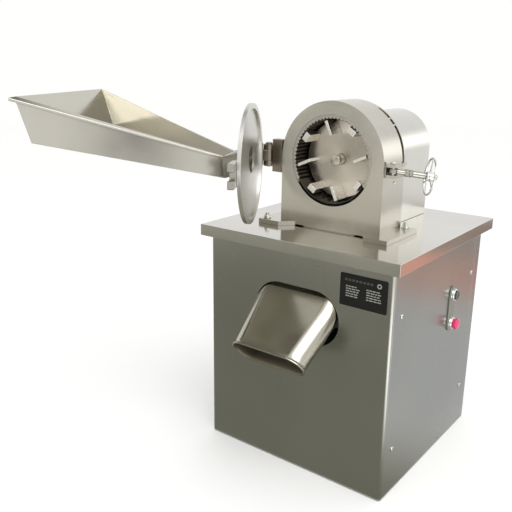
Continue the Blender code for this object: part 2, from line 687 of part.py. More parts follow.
def make_swing_bolt():
    x, y, z = PIVOT
    face = SHAFT_X + HOUSING_RADIUS + GAP
    height = CLEVIS_HALF_HEIGHT
    cheeks = block((face, CLEVIS_FRONT, z - height), (x + 0.011, CLEVIS_REAR, z + height))
    between = block((face + 0.0015, -0.2, z - CLEVIS_GAP), (x + 0.02, 0, z + CLEVIS_GAP))
    pin_hole = cylinder((x, y), CLEVIS_PIN_RADIUS + GAP, z - 0.02, z + 0.02, "Z", 20)
    piece("clevis", "cast_steel", cheeks, cut=[between, pin_hole])
    radius, head = CLEVIS_PIN_RADIUS, height + GAP
    pin = [(radius, -height - 0.002), (radius, head), (0.006, head), (0.006, head + 0.003)]
    piece("clevis_pin", "zinc", turned([*pin, (0.0045, head + 0.004)], "Z", 20), at=PIVOT)

    turning = axis_empty("bolt_axis", PIVOT, BOLT_REST, BOLT_DROOP)
    eye = cylinder((0, 0), EYE_RADIUS, -EYE_HALF_HEIGHT, EYE_HALF_HEIGHT, "Z", 28)
    shank = cylinder((0, 0), BOLT_RADIUS, 0.0065, WHEEL_AT + 0.016, "X", 24)
    eye_hole = cylinder((0, 0), EYE_HOLE, -0.02, 0.02, "Z", 24)
    piece("swing_bolt", "zinc", eye, add=[shank], cut=[eye_hole], parent=turning)

    hub = tube((0, 0), BOLT_RADIUS + GAP, 0.010, -0.008, 0.008, "X", 28)
    rim_profile = [(WHEEL_RADIUS + a, b) for a, b in circle(0.0024, 8)]
    rim = turned(rim_profile, "X", 48, bored=True)
    spokes = []
    for n in range(3):
        spoke = cylinder((0, 0), 0.002, 0.008, WHEEL_RADIUS, "Z", 10)
        spoke.transform(Matrix.Rotation(math.radians(120 * n), 4, "X"))
        spokes.append(spoke)
    piece("handwheel", "chrome", hub, add=[rim, *spokes], parent=turning, at=(WHEEL_AT, 0, 0))


clear_scene()
materials = {name: make_material(name) for name in FINISHES}
make_cabinet()
make_plates()
make_chute()
make_motor()
make_housing()
make_ring_and_screen()
make_rotor()
make_bearings()
make_guard()
make_hinge()
make_door()
make_swing_bolt()
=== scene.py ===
"""The looks of the hammer mill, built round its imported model.

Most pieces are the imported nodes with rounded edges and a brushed, satin or polished steel finish. The
cabinet's panels, the hopper, the chute, the bolts and the small parts are built here in full. Metres, +Z up.
"""

import json
import math
import random

import bmesh
import bpy
from mathutils import Matrix, Vector


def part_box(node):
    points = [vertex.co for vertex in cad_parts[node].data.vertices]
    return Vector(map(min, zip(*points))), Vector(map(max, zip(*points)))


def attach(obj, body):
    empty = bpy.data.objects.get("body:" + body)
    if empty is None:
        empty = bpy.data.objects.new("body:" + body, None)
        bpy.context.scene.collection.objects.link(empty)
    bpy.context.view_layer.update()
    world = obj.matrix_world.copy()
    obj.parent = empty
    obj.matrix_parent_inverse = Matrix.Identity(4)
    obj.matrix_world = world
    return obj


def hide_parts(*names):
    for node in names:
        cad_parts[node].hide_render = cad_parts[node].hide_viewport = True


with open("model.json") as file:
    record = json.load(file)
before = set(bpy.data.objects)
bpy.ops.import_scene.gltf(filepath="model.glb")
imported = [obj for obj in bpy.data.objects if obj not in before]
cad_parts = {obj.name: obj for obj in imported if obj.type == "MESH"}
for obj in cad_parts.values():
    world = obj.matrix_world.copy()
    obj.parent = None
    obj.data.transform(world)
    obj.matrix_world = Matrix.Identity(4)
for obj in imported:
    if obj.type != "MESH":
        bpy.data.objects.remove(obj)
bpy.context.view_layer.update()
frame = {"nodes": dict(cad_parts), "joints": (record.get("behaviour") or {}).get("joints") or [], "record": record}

NODES = frame["nodes"]
JOINTS = {joint["name"]: joint for joint in frame["joints"]}
BODY_OF = {
    node: body for body, members in frame["record"]["behaviour"]["bodies"].items() for node in members
}

GAP = 0.0003
SHEET = 0.002

# where things are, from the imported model
SHAFT = Vector(JOINTS["rotor_spin"]["pos_m"])
HINGE = Vector(JOINTS["door_hinge"]["pos_m"])
PIVOT = Vector(JOINTS["bolt_pivot"]["pos_m"])
DOOR_OPEN = math.radians(JOINTS["door_hinge"]["range_deg"][1])
FRONT_LOW, FRONT_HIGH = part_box("front_panel")
REAR_LOW, REAR_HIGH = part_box("rear_panel")
SLAB_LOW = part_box("top_slab")[0]

# chute: how it slopes, and its half widths at the panel and at the mouth
CHUTE_SLOPE = math.radians(38.4)
CHUTE_HALF_WIDTH, CHUTE_MOUTH_HALF_WIDTH = 0.1025, 0.0875
CHUTE_HALF_HEIGHT = 0.032
CHUTE_X, CHUTE_PANEL_Z = 0.0075, 0.384
CHUTE_REACH = 0.130

# cabinet details
BEND = 0.0065
PANEL_OPENING = (0.108, 0.062)
HOPPER_LIP = 0.007
HOPPER_HEM = 0.0035
HOPPER_SHEET = 0.0016
LIP_INSET = 0.0022

# housing: a groove near its rear edge, the sector that it spans, and a plug on the right side
GROOVE_FRONT, GROOVE_REAR = -0.0375, -0.0275
GROOVE_DEPTH = 0.0085
GROOVE_MIDDLE, GROOVE_HALF_ANGLE = math.radians(30), math.radians(33)
GROOVE_STUD_DEGREES = (38, 46)
SIDE_PLUG_YZ = (-0.069, 0.655)

# swing bolt and handwheel, measured out along the bolt from its pivot
BOLT_RADIUS, BOLT_BORE = 0.0050, 0.0051
BOLT_NUT_ACROSS = 0.0140
WHEEL_AT, WHEEL_RADIUS, WHEEL_TUBE = 0.078, 0.038, 0.0024

# the painted reflection on a turned disc: how its light and dark sectors lie, and how strong they are
SHEEN_TURN, SHEEN_CONTRAST, SHEEN_SHARE = -4.2, 0.22, 0.35

CAMERA_PLACE = (0.7645, -1.3618, 0.9021)
CAMERA_AZIMUTH, CAMERA_PITCH, CAMERA_ROLL = (math.radians(a) for a in (37.628, 16.350, 0.615))
CAMERA_LENS, CAMERA_SENSOR = 46.73, 36


# ---- materials


def add_node(tree, kind, inputs=(), **settings):
    node = tree.nodes.new(kind)
    for name, value in settings.items():
        setattr(node, name, value)
    for name, value in inputs:
        socket = node.inputs[name]
        if isinstance(value, bpy.types.NodeSocket):
            tree.links.new(value, socket)
        else:
            socket.default_value = value
    return node


def new_material(name, roughness, metallic, **fixed):
    material = bpy.data.materials.new(name)
    material.use_nodes = True
    shader = material.node_tree.nodes["Principled BSDF"]
    shader.inputs["Roughness"].default_value = roughness
    shader.inputs["Metallic"].default_value = metallic
    for socket, value in fixed.items():
        shader.inputs[socket.replace("_", " ")].default_value = value
    return material, material.node_tree, shader


def stretched_noise(tree, coordinates, stretch, detail=3.0, scale=1.0):
    """Noise that is fine along the axes with a large stretch and drawn out along the others."""
    mapping = add_node(tree, "ShaderNodeMapping", [("Vector", coordinates), ("Scale", stretch)])
    noise = add_node(
        tree, "ShaderNodeTexNoise",
        [("Vector", mapping.outputs["Vector"]), ("Scale", scale), ("Detail", detail), ("Roughness", 0.6)],
    )
    return noise.outputs["Fac"]


def ranged(tree, value, low, high, start=0.3, end=0.7):
    node = add_node(
        tree, "ShaderNodeMapRange",
        [("Value", value), ("From Min", start), ("From Max", end), ("To Min", low), ("To Max", high)],
    )
    return node.outputs["Result"]


def mixed_colour(tree, factor, first, second):
    node = add_node(tree, "ShaderNodeMix", data_type="RGBA")
    tree.links.new(factor, node.inputs["Factor"])
    node.inputs["A"].default_value = (*first, 1)
    node.inputs["B"].default_value = (*second, 1)
    return node.outputs["Result"]


def calculated(tree, operation, *operands):
    """A maths node's result. Each operand is a socket or a number."""
    node = add_node(tree, "ShaderNodeMath", operation=operation)
    for socket, value in zip(node.inputs, operands):
        if isinstance(value, bpy.types.NodeSocket):
            tree.links.new(value, socket)
        else:
            socket.default_value = value
    return node.outputs[0]


def combined(tree, first, second, share):
    """first and second added, with share of the first."""
    return calculated(tree, "MULTIPLY_ADD", second, 1 - share, calculated(tree, "MULTIPLY", first, share))


def sectors(tree, coordinates, centre):
    """Two light and two dark sectors about an axis along Y, painted into the colour as the reflection that a
    turned face shows in soft light.
    """
    place = add_node(tree, "ShaderNodeSeparateXYZ", [("Vector", coordinates)])
    across = calculated(tree, "SUBTRACT", place.outputs["X"], centre.x)
    up = calculated(tree, "SUBTRACT", place.outputs["Z"], centre.z)
    angle = calculated(tree, "ARCTAN2", up, across)
    twice = calculated(tree, "MULTIPLY", angle, 2.0)
    wave = calculated(tree, "COSINE", calculated(tree, "ADD", twice, SHEEN_TURN))
    return calculated(tree, "ADD", calculated(tree, "MULTIPLY", wave, SHEEN_CONTRAST), 0.5)


def steel(name, dark, light, roughness, grain, blotch=9.0, bump=0.05, anisotropy=0.0, turned_about=None,
          grain_share=0.2, sheen_about=None):
    """Worked steel: a directional grain, soft blotches from handling, and the bump of the grain.

    A disc turned about sheen_about, a point of its axis along Y, also has a painted reflection in its colour: two
    light and two dark sectors.
    """
    material, tree, shader = new_material(name, roughness[0], 1.0, Anisotropic=anisotropy)
    coordinates = add_node(tree, "ShaderNodeTexCoord").outputs["Object"]
    lines = stretched_noise(tree, coordinates, grain)
    cloud = stretched_noise(tree, coordinates, (blotch, blotch, blotch), 2.0)
    both = combined(tree, lines, cloud, grain_share)
    # painted reflection: the light and dark sectors are mixed into the colour
    if sheen_about:
        both = combined(tree, both, sectors(tree, coordinates, sheen_about), SHEEN_SHARE)
    tree.links.new(mixed_colour(tree, ranged(tree, both, 0, 1), dark, light), shader.inputs["Base Color"])
    tree.links.new(ranged(tree, both, *roughness), shader.inputs["Roughness"])
    relief = add_node(tree, "ShaderNodeBump", [("Height", lines), ("Strength", bump), ("Distance", 0.0003)])
    tree.links.new(relief.outputs["Normal"], shader.inputs["Normal"])
    if turned_about:
        tangent = add_node(tree, "ShaderNodeTangent", direction_type="RADIAL", axis=turned_about)
        tree.links.new(tangent.outputs["Tangent"], shader.inputs["Tangent"])
    return material


def speckled(name, dark, light, roughness, metallic, scale, bump, **fixed):
    """A coated, moulded or cast surface, with a fine even texture."""
    material, tree, shader = new_material(name, roughness[0], metallic, **fixed)
    coordinates = add_node(tree, "ShaderNodeTexCoord").outputs["Object"]
    fine = stretched_noise(tree, coordinates, (scale, scale, scale), 4.0)
    cloud = stretched_noise(tree, coordinates, (14, 14, 14), 2.0)
    both = combined(tree, fine, cloud, 0.5)
    tree.links.new(mixed_colour(tree, ranged(tree, both, 0, 1), dark, light), shader.inputs["Base Color"])
    tree.links.new(ranged(tree, both, *roughness), shader.inputs["Roughness"])
    relief = add_node(tree, "ShaderNodeBump", [("Height", fine), ("Strength", bump), ("Distance", 0.0004)])
    tree.links.new(relief.outputs["Normal"], shader.inputs["Normal"])
    return material


MATERIALS = {
    # panels are brushed level, so their reflections are drawn out upwards
    "panel": steel("brushed_panel", (0.335, 0.332, 0.308), (0.375, 0.372, 0.348), (0.26, 0.30),
                   (6, 6, 1500), blotch=3.0, bump=0.002, anisotropy=0.35, grain_share=0.04),
    "slab": steel("brushed_slab", (0.56, 0.545, 0.515), (0.63, 0.615, 0.58), (0.11, 0.16), (5, 800, 800),
                  blotch=5.0, bump=0.012),
    "satin": steel("satin_casting", (0.51, 0.49, 0.44), (0.57, 0.55, 0.495), (0.20, 0.27),
                   (90, 90, 90), blotch=12.0, bump=0.02),
    "guard": steel("satin_guard", (0.59, 0.585, 0.545), (0.65, 0.645, 0.605), (0.17, 0.23), (300, 12, 300),
                   bump=0.02),
    "hopper": steel("brushed_hopper", (0.54, 0.52, 0.46), (0.60, 0.58, 0.52), (0.16, 0.23),
                    (12, 12, 700), blotch=7.0, bump=0.03),
    "spout": steel("polished_spout", (0.43, 0.41, 0.345), (0.52, 0.50, 0.43), (0.17, 0.24),
                   (300, 30, 30), bump=0.02),
    "door": steel("turned_door", (0.58, 0.575, 0.54), (0.66, 0.655, 0.62), (0.26, 0.34),
                  (160, 160, 160), bump=0.02),
    # the disc's colour carries a painted reflection: light and dark sectors about the shaft
    "rotor": steel("turned_disc", (0.42, 0.385, 0.335), (0.72, 0.66, 0.58), (0.26, 0.33), (60, 60, 60),
                   bump=0.008, anisotropy=0.6, turned_about="Y", sheen_about=SHAFT),
    "ring": steel("machined_ring", (0.46, 0.44, 0.395), (0.55, 0.53, 0.48), (0.25, 0.33),
                  (300, 40, 300), bump=0.04),
    # near black: painted shade for the toothed ring's hidden walls, the screen and the inside of the clevis slot
    "painted_shade": steel("painted_shade_black", (0.055, 0.048, 0.038), (0.11, 0.098, 0.08), (0.38, 0.52),
                     (200, 200, 200), bump=0.08),
    "blade": steel("ground_blade", (0.82, 0.80, 0.75), (0.88, 0.86, 0.81), (0.24, 0.30),
                   (300, 40, 300), bump=0.008),
    # darker brown: painted shade for the chute's inside faces
    "painted_shade_duct": steel("painted_shade_chute_inside", (0.20, 0.175, 0.125), (0.30, 0.265, 0.20), (0.5, 0.62),
                  (60, 60, 60), bump=0.03),
    # darker steel: painted shade for the door's arm, hinge bracket and pin, and for the housing's groove
    "painted_shade_steel": steel("painted_shade_arm_steel", (0.215, 0.185, 0.145), (0.29, 0.255, 0.205), (0.28, 0.38),
                        (260, 260, 40), bump=0.03),
    # a darker grey steel, for the swing bolt and the clamp lug
    "bolt": steel("darker_bolt_steel", (0.30, 0.285, 0.25), (0.44, 0.425, 0.385), (0.18, 0.28),
                  (500, 500, 500), bump=0.05),
    "zinc": steel("zinc_plate", (0.60, 0.59, 0.56), (0.72, 0.71, 0.68), (0.16, 0.26),
                  (500, 500, 500), bump=0.03),
    "chrome": steel("chrome", (0.70, 0.70, 0.68), (0.78, 0.78, 0.76), (0.13, 0.20), (40, 40, 40), bump=0.01),
    "motor": speckled("motor_paint", (0.055, 0.095, 0.125), (0.075, 0.125, 0.16), (0.38, 0.52), 0.0,
                      900, 0.12),
    "iron": speckled("cast_iron", (0.07, 0.07, 0.068), (0.12, 0.118, 0.112), (0.55, 0.7), 0.8, 500, 0.35),
    "rubber": speckled("belt_rubber", (0.012, 0.012, 0.012), (0.03, 0.03, 0.029), (0.7, 0.85), 0.0, 700,
                       0.25),
    "black": speckled("black_plate", (0.006, 0.006, 0.005), (0.012, 0.012, 0.010), (0.45, 0.6), 0.0, 600,
                      0.05, Specular_IOR_Level=0.18),
    "print": speckled("plate_print", (0.25, 0.25, 0.23), (0.38, 0.38, 0.35), (0.35, 0.5), 0.3, 700, 0.05),
    "faint_print": speckled("plate_heading", (0.035, 0.035, 0.030), (0.055, 0.055, 0.048), (0.35, 0.5), 0.0,
                            700, 0.05),
    "switch": speckled("switch_plate", (0.20, 0.212, 0.172), (0.27, 0.285, 0.235), (0.30, 0.42), 0.5, 500,
                       0.08),
    "green": speckled("start_green", (0.010, 0.030, 0.016), (0.016, 0.045, 0.022), (0.22, 0.35), 0.0, 300,
                      0.03, Coat_Weight=0.4),
    "red": speckled("stop_red", (0.56, 0.016, 0.11), (0.72, 0.028, 0.165), (0.22, 0.35), 0.0, 300, 0.03,
                    Coat_Weight=0.4),
}


# ---- mesh work


def along(axis, a, b, t):
    return {"X": (t, a, b), "Y": (a, t, b), "Z": (a, b, t)}[axis]


def skin(mesh, rings, closed=False):
    following = rings[1:] + (rings[:1] if closed else [])
    for ring, other in zip(rings, following):
        for i in range(len(ring)):
            j = (i + 1) % len(ring)
            mesh.faces.new((ring[i], ring[j], other[j], other[i]))


def faced_out(mesh):
    bmesh.ops.recalc_face_normals(mesh, faces=mesh.faces[:])
    return mesh


def lofted(rings, closed=False):
    """A skin over rings of points, closed on itself or capped at both ends."""
    mesh = bmesh.new()
    rings = [[mesh.verts.new(point) for point in ring] for ring in rings]
    skin(mesh, rings, closed)
    if not closed:
        mesh.faces.new(rings[0])
        mesh.faces.new(rings[-1])
    return faced_out(mesh)


def prism(outline, low, high, axis="Z"):
    return lofted([[along(axis, a, b, t) for a, b in outline] for t in (low, high)])


def arc(radius, start, end, steps, centre=(0, 0)):
    angles = [math.radians(start + (end - start) * i / steps) for i in range(steps + 1)]
    return [(centre[0] + radius * math.cos(a), centre[1] + radius * math.sin(a)) for a in angles]


def circle(radius, sides, centre=(0, 0)):
    return arc(radius, 0, 360, sides, centre)[:-1]


def turned(profile, axis, sides=64, centre=(0, 0), bored=False):
    """A profile of (radius, along) points turned about an axis. A bored one closes on itself."""
    rings = [[along(axis, a, b, t) for a, b in circle(radius, sides, centre)] for radius, t in profile]
    return lofted(rings, bored)


def obround(half_width, half_height, steps=24):
    straight = half_width - half_height
    right = arc(half_height, -90, 90, steps, (straight, 0))
    left = arc(half_height, 90, 270, steps, (-straight, 0))
    return right + left


def rounded_rectangle(half_width, half_height, radius, centre=(0, 0), steps=6):
    points = []
    for quarter, (i, j) in enumerate(((1, 1), (-1, 1), (-1, -1), (1, -1))):
        corner = (centre[0] + i * (half_width - radius), centre[1] + j * (half_height - radius))
        points += arc(radius, 90 * quarter, 90 * quarter + 90, steps, corner)
    return points


def joined(shapes):
    whole = bmesh.new()
    for shape in shapes:
        mesh = bpy.data.meshes.new("shape")
        shape.to_mesh(mesh)
        shape.free()
        whole.from_mesh(mesh)
        bpy.data.meshes.remove(mesh)
    return whole


def moved(shape, matrix):
    shape.transform(matrix)
    return shape


# ---- pieces


def add_object(name, shape):
    mesh = bpy.data.meshes.new(name)
    shape.to_mesh(mesh)
    shape.free()
    thing = bpy.data.objects.new(name, mesh)
    bpy.context.scene.collection.objects.link(thing)
    return thing


def apply_modifiers(thing):
    evaluated = thing.evaluated_get(bpy.context.evaluated_depsgraph_get())
    mesh = bpy.data.meshes.new_from_object(evaluated)
    thing.modifiers.clear()
    thing.data = mesh


def cut_away(thing, tools):
    for n, tool in enumerate(tools):
        cutter = add_object(f"{thing.name}_cutter_{n}", tool)
        boolean = thing.modifiers.new("Cut", "BOOLEAN")
        boolean.operation = "DIFFERENCE"
        boolean.object = cutter
        apply_modifiers(thing)
        bpy.data.objects.remove(cutter)


def piece(name, shape, finish, body="cabinet", replaces=(), round_off=0.0, cut=(), segments=3,
          angle=28):
    """One visible piece: its mesh, material, body and the nodes that it stands for."""
    thing = add_object(name, shape)
    thing.data.materials.append(MATERIALS[finish])
    cut_away(thing, cut)
    if round_off:
        edges = thing.modifiers.new("Rounded", "BEVEL")
        edges.width = round_off
        edges.segments = segments
        edges.limit_method = "ANGLE"
        edges.angle_limit = math.radians(angle)
        levelled = thing.modifiers.new("Even shading", "WEIGHTED_NORMAL")
        levelled.keep_sharp = True
    thing.data.shade_smooth()
    thing.data.set_sharp_from_angle(angle=math.radians(40))
    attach(thing, body)
    if replaces:
        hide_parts(*replaces)
    return thing


def copy_of(node):
    """A node's mesh, with the triangles of each flat face joined."""
    mesh = bmesh.new()
    mesh.from_mesh(NODES[node].data)
    bmesh.ops.remove_doubles(mesh, verts=mesh.verts[:], dist=1e-6)
    flat = math.radians(0.6)
    bmesh.ops.dissolve_limit(mesh, angle_limit=flat, verts=mesh.verts[:], edges=mesh.edges[:])
    return mesh


def rounded(node, width, finish, cut=(), segments=3, angle=28):
    """A node with its edges rounded, which stands for it."""
    name = f"{node}_finished"
    return piece(name, copy_of(node), finish, BODY_OF[node], (node,), width, cut, segments, angle)


def refinish(finish, *nodes):
    """A node that stays as it is, with a better material."""
    for node in nodes:
        for number in range(len(NODES[node].data.materials)):
            NODES[node].data.materials[number] = MATERIALS[finish]


def reface(thing, finish, chosen):
    """Give the faces for which chosen(face) is true another finish."""
    thing.data.materials.append(MATERIALS[finish])
    for face in thing.data.polygons:
        if chosen(face):
            face.material_index = 1


def door_frame():
    """From the closed door's own frame, with the hinge as its origin, to the world at rest."""
    return Matrix.Translation(HINGE) @ Matrix.Rotation(-DOOR_OPEN, 4, "Z")


def bolt_frame():
    """X runs out along the swing bolt at rest, and Z is as near upright as it can be."""
    x = Vector(JOINTS["handwheel_spin"]["axis"]).normalized()
    z = (Vector((0, 0, 1)) - x * x.z).normalized()
    y = z.cross(x)
    return Matrix.Translation(PIVOT) @ Matrix((x, y, z)).transposed().to_4x4()


# ---- the cabinet


def bent_outline(half_x, y, return_to):
    """The plan of a panel across the cabinet at y, with a bend and a return at each end."""
    side = 1 if return_to > y else -1
    def half(inset, end):
        corner = (half_x - BEND, y + side * BEND)
        bend = arc(BEND - inset, 0, -90 * side, 8, corner)
        run = [(half_x - inset, return_to), *bend]
        return run if end > 0 else [(-a, b) for a, b in reversed(run)]
    outer = half(0, 1) + half(0, -1)
    inner = half(SHEET, 1) + half(SHEET, -1)
    return outer + inner[::-1]


def make_cabinet():
    half_x, top = FRONT_HIGH.x, FRONT_HIGH.z
    opening_low, opening_high = FRONT_LOW.y - 0.01, FRONT_LOW.y + 0.02
    hole = [(CHUTE_X + a, CHUTE_PANEL_Z - 0.008 + b) for a, b in obround(*PANEL_OPENING, 32)]
    front_end = FRONT_LOW.y + BEND + 0.0012
    piece(
        "front_panel_bent", prism(bent_outline(half_x, FRONT_LOW.y, front_end), FRONT_LOW.z, top),
        "panel", replaces=("front_panel",), round_off=0.0005,
        cut=[prism(hole, opening_low, opening_high, "Y")],
    )
    piece(
        "rear_panel_bent", prism(bent_outline(half_x, REAR_HIGH.y, REAR_LOW.y), REAR_LOW.z, top),
        "panel", replaces=("rear_panel",), round_off=0.0005,
    )
    for node in ("side_panel", "left_panel"):
        ahead = [(-0.3, -0.3), (0.3, -0.3), (0.3, front_end + GAP), (-0.3, front_end + GAP)]
        rounded(node, 0.0005, "panel", cut=[prism(ahead, -0.1, 0.7)])
    rounded("top_slab", 0.0011, "slab")
    refinish("panel", "base_pan")
    for number in range(1, 5):
        make_screw(number)


def make_screw(number):
    """A pan head with a cross recess."""
    node = f"panel_screw_{number}"
    low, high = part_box(node)
    radius, height = (high.z - low.z) / 2, high.x - low.x
    dome = [(radius, low.x), (radius, low.x + height * 0.35)]
    for step in range(1, 7):
        angle = math.radians(15 * step)
        dome.append((max(radius * math.cos(angle), 0.0003),
                     low.x + height * (0.35 + 0.65 * math.sin(angle))))
    centre = ((low.y + high.y) / 2, (low.z + high.z) / 2)
    slots = []
    for wide, tall in ((0.0006, 0.0028), (0.0028, 0.0006)):
        shape = rounded_rectangle(wide, tall, 0.0003, centre, 2)
        slots.append(prism(shape, high.x - 0.0013, high.x + 0.001, "X"))
    piece(f"{node}_crossed", turned(dome, "X", 32, centre), "zinc", replaces=(node,), cut=slots)


def make_nameplate():
    low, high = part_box("nameplate")
    centre = ((low.x + high.x) / 2, (low.z + high.z) / 2)
    half_x, half_z = (high.x - low.x) / 2, (high.z - low.z) / 2
    face = low.y + 0.0002
    plate = rounded_rectangle(half_x, half_z, 0.003, centre)
    piece("nameplate_blank", prism(plate, face, high.y, "Y"), "black",
          replaces=("nameplate",), round_off=0.0003)

    def bar(x, z, half_width, half_height):
        outline = rounded_rectangle(half_width, half_height, half_height * 0.6, (x, z), 2)
        return prism(outline, low.y, face + 0.0001, "Y")

    marks, widths = [], random.Random(4)
    for block_x in (low.x + 0.028, low.x + 0.075):
        for line in range(5):
            z = high.z - 0.026 - 0.0052 * line
            left = block_x - 0.014
            while left < block_x + 0.012:
                width = widths.uniform(0.004, 0.009)
                marks.append(bar(left + width / 2, z, width / 2, 0.0011))
                left += width + 0.0014
    piece("nameplate_lines", joined(marks), "print")
    heading = [bar(low.x + 0.014 + 0.0083 * n, high.z - 0.0125, 0.0030, 0.0024) for n in range(8)]
    piece("nameplate_heading", joined(heading), "faint_print")
    spot = [(0.0026, low.y), (0.0052, low.y), (0.0052, face + 0.0001), (0.0026, face + 0.0001)]
    piece("nameplate_ring", turned(spot, "Y", 32, (high.x - 0.018, high.z - 0.013), bored=True),
          "print")


def make_switches():
    rounded("switch_plate", 0.0013, "switch")
    for name in ("start", "stop"):
        low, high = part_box(f"{name}_bezel")
        centre = ((low.y + high.y) / 2, (low.z + high.z) / 2)
        outer = (high.y - low.y) / 2
        bore = outer - 0.0036
        ring = [(bore, low.x), (outer, low.x), (outer, low.x + 0.002), (outer - 0.0006, low.x + 0.0026),
                (outer - 0.0006, high.x - 0.0024), (outer - 0.0010, high.x - 0.0012),
                (outer - 0.0019, high.x - 0.0003), (outer - 0.0026, high.x), (bore, high.x - 0.0004)]
        piece(f"{name}_bezel_turned", turned(ring, "X", 48, centre, bored=True), "chrome",
              replaces=(f"{name}_bezel",), round_off=0.0002)
        low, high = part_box(f"{name}_button")
        radius = (high.y - low.y) / 2
        if name == "start":
            cap = [(radius, low.x), (radius, high.x - 0.0010), (radius - 0.0004, high.x - 0.0003),
                   (radius - 0.0012, high.x), (radius - 0.0022, high.x - 0.0003),
                   (radius * 0.5, high.x - 0.0012), (0.0004, high.x - 0.0015)]
        else:
            stem, under = radius - 0.0030, high.x - 0.0077
            cap = [(stem, low.x), (stem, under), (radius - 0.0006, under), (radius, under + 0.0006),
                   (radius, high.x - 0.0032)]
            for step in range(1, 9):
                angle = math.radians(step * 11.2)
                cap.append((max(radius * math.cos(angle), 0.0004),
                            high.x - 0.0032 + 0.0032 * math.sin(angle)))
        finish, slot = ("green", "start_green") if name == "start" else ("red", "stop_red")
        piece(f"{name}_button_cap", turned(cap, "X", 48, centre), finish, f"{name}_button",
              (f"{name}_button",))


# ---- the chute


def chute_ring(half_width, spread, reach=None, plane=None):
    """A ring of the chute, spread outwards from its outside: at reach, or cut by a level plane."""
    along_y, along_z = math.cos(CHUTE_SLOPE), math.sin(CHUTE_SLOPE)
    points = []
    for a, b in obround(half_width + spread, CHUTE_HALF_HEIGHT + spread):
        y, z = FRONT_LOW.y - b * along_z, CHUTE_PANEL_Z + b * along_y
        run = reach if plane is None else (z - plane) / along_z
        points.append((CHUTE_X + a, y - run * along_y, z - run * along_z))
    return points


def make_chute():
    def width_at(reach):
        return CHUTE_HALF_WIDTH + (CHUTE_MOUTH_HALF_WIDTH - CHUTE_HALF_WIDTH) * max(reach, 0) / CHUTE_REACH

    rings = [chute_ring(CHUTE_HALF_WIDTH, 0, plane=SLAB_LOW.z)]
    outside = [(0, 0), (0.04, 0), (0.08, 0), (0.110, 0), (0.121, 0.0002), (0.1245, 0.0012), (0.1265, 0.0028),
               (0.1276, 0.0034), (0.1290, 0.0033), (0.1298, 0.0024), (0.1300, 0.0012)]
    inside = [(0.1292, 0.0002), (0.1270, -0.0010), (0.1235, -0.0018), (0.115, -SHEET), (0.08, -SHEET),
              (0.04, -SHEET), (0, -SHEET)]
    for reach, spread in outside + inside:
        rings.append(chute_ring(width_at(reach), spread, reach=reach))
    rings.append(chute_ring(CHUTE_HALF_WIDTH, -SHEET, plane=SLAB_LOW.z))
    chute = piece("discharge_chute_rolled", lofted(rings, closed=True), "spout",
                  replaces=("discharge_chute",))
    axis_start = Vector((CHUTE_X, FRONT_LOW.y, CHUTE_PANEL_Z))
    axis = Vector((0, -math.cos(CHUTE_SLOPE), -math.sin(CHUTE_SLOPE)))
    middle = CHUTE_MOUTH_HALF_WIDTH - CHUTE_HALF_HEIGHT

    def faces_in(face):
        from_axis = face.center - axis_start
        from_axis -= axis * from_axis.dot(axis)
        from_axis.x -= max(-middle, min(middle, from_axis.x))
        return face.normal.dot(from_axis.normalized()) < -0.6

    # the chute's inside faces take a darker brown, painted shade
    reface(chute, "painted_shade_duct", faces_in)


# ---- the mill


def make_mill():
    make_housing()
    ring = rounded("toothed_ring", 0.0004, "ring", segments=2, angle=20)
    # the ring's side walls are near black, painted shade
    reface(ring, "painted_shade", lambda face: abs(face.normal.y) < 0.5)
    # the screen is all near black, painted shade
    rounded("screen", 0.0003, "painted_shade", segments=1)
    rounded("rotor_disc", 0.0010, "rotor")
    make_cap_nut()
    rounded("main_shaft", 0.0007, "satin")
    for number in range(1, 5):
        rounded(f"peg_{number}", 0.0008, "blade")
        rounded(f"beater_blade_{number}", 0.0006, "blade")
    rounded("bearing_housing", 0.0009, "iron")
    rounded("belt_guard", 0.0009, "guard")
    for number in range(1, 4):
        make_guard_bolt(number)
    make_foot_bolts()
    make_housing_details()


def make_housing():
    """The arched casting, with a groove near its rear edge that tapers out at both ends."""
    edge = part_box("mill_housing")[1].z - SHAFT.z
    half_chord = edge * math.sin(GROOVE_HALF_ANGLE)
    rise = edge * (1 - math.cos(GROOVE_HALF_ANGLE)) - GROOVE_DEPTH
    floor_radius = half_chord ** 2 / (2 * rise) + rise / 2
    offset = edge - GROOVE_DEPTH - floor_radius
    centre = (SHAFT.x + offset * math.cos(GROOVE_MIDDLE), SHAFT.z + offset * math.sin(GROOVE_MIDDLE))
    reach = math.degrees(math.asin(half_chord / floor_radius)) + 0.5
    start, end = math.degrees(GROOVE_MIDDLE) - reach, math.degrees(GROOVE_MIDDLE) + reach
    groove = arc(floor_radius, start, end, 60, centre) + arc(floor_radius + 0.02, end, start, 60, centre)
    cutter = prism(groove, GROOVE_FRONT, GROOVE_REAR, "Y")
    housing = rounded("mill_housing", 0.0014, "satin", cut=[cutter])

    def in_groove(face):
        from_centre = math.hypot(face.center.x - centre[0], face.center.z - centre[1])
        from_shaft = math.hypot(face.center.x - SHAFT.x, face.center.z - SHAFT.z)
        between = GROOVE_FRONT - 0.0001 < face.center.y < GROOVE_REAR + 0.0001
        return between and from_centre > floor_radius - 0.0002 and from_shaft < edge - 0.0008

    # the groove's faces are painted shade in darker steel
    reface(housing, "painted_shade_steel", in_groove)
    front, rear = GROOVE_FRONT - 0.001, GROOVE_REAR + 0.001
    profile = [(0.0003, front), (0.0026, front), (0.0026, rear), (0.0003, rear)]
    for number, degrees in enumerate(GROOVE_STUD_DEGREES, 1):
        angle = math.radians(degrees)
        stud_at = (SHAFT.x + (edge - 0.0034) * math.cos(angle), SHAFT.z + (edge - 0.0034) * math.sin(angle))
        piece(f"groove_stud_{number}", turned(profile, "Y", 24, stud_at), "zinc")


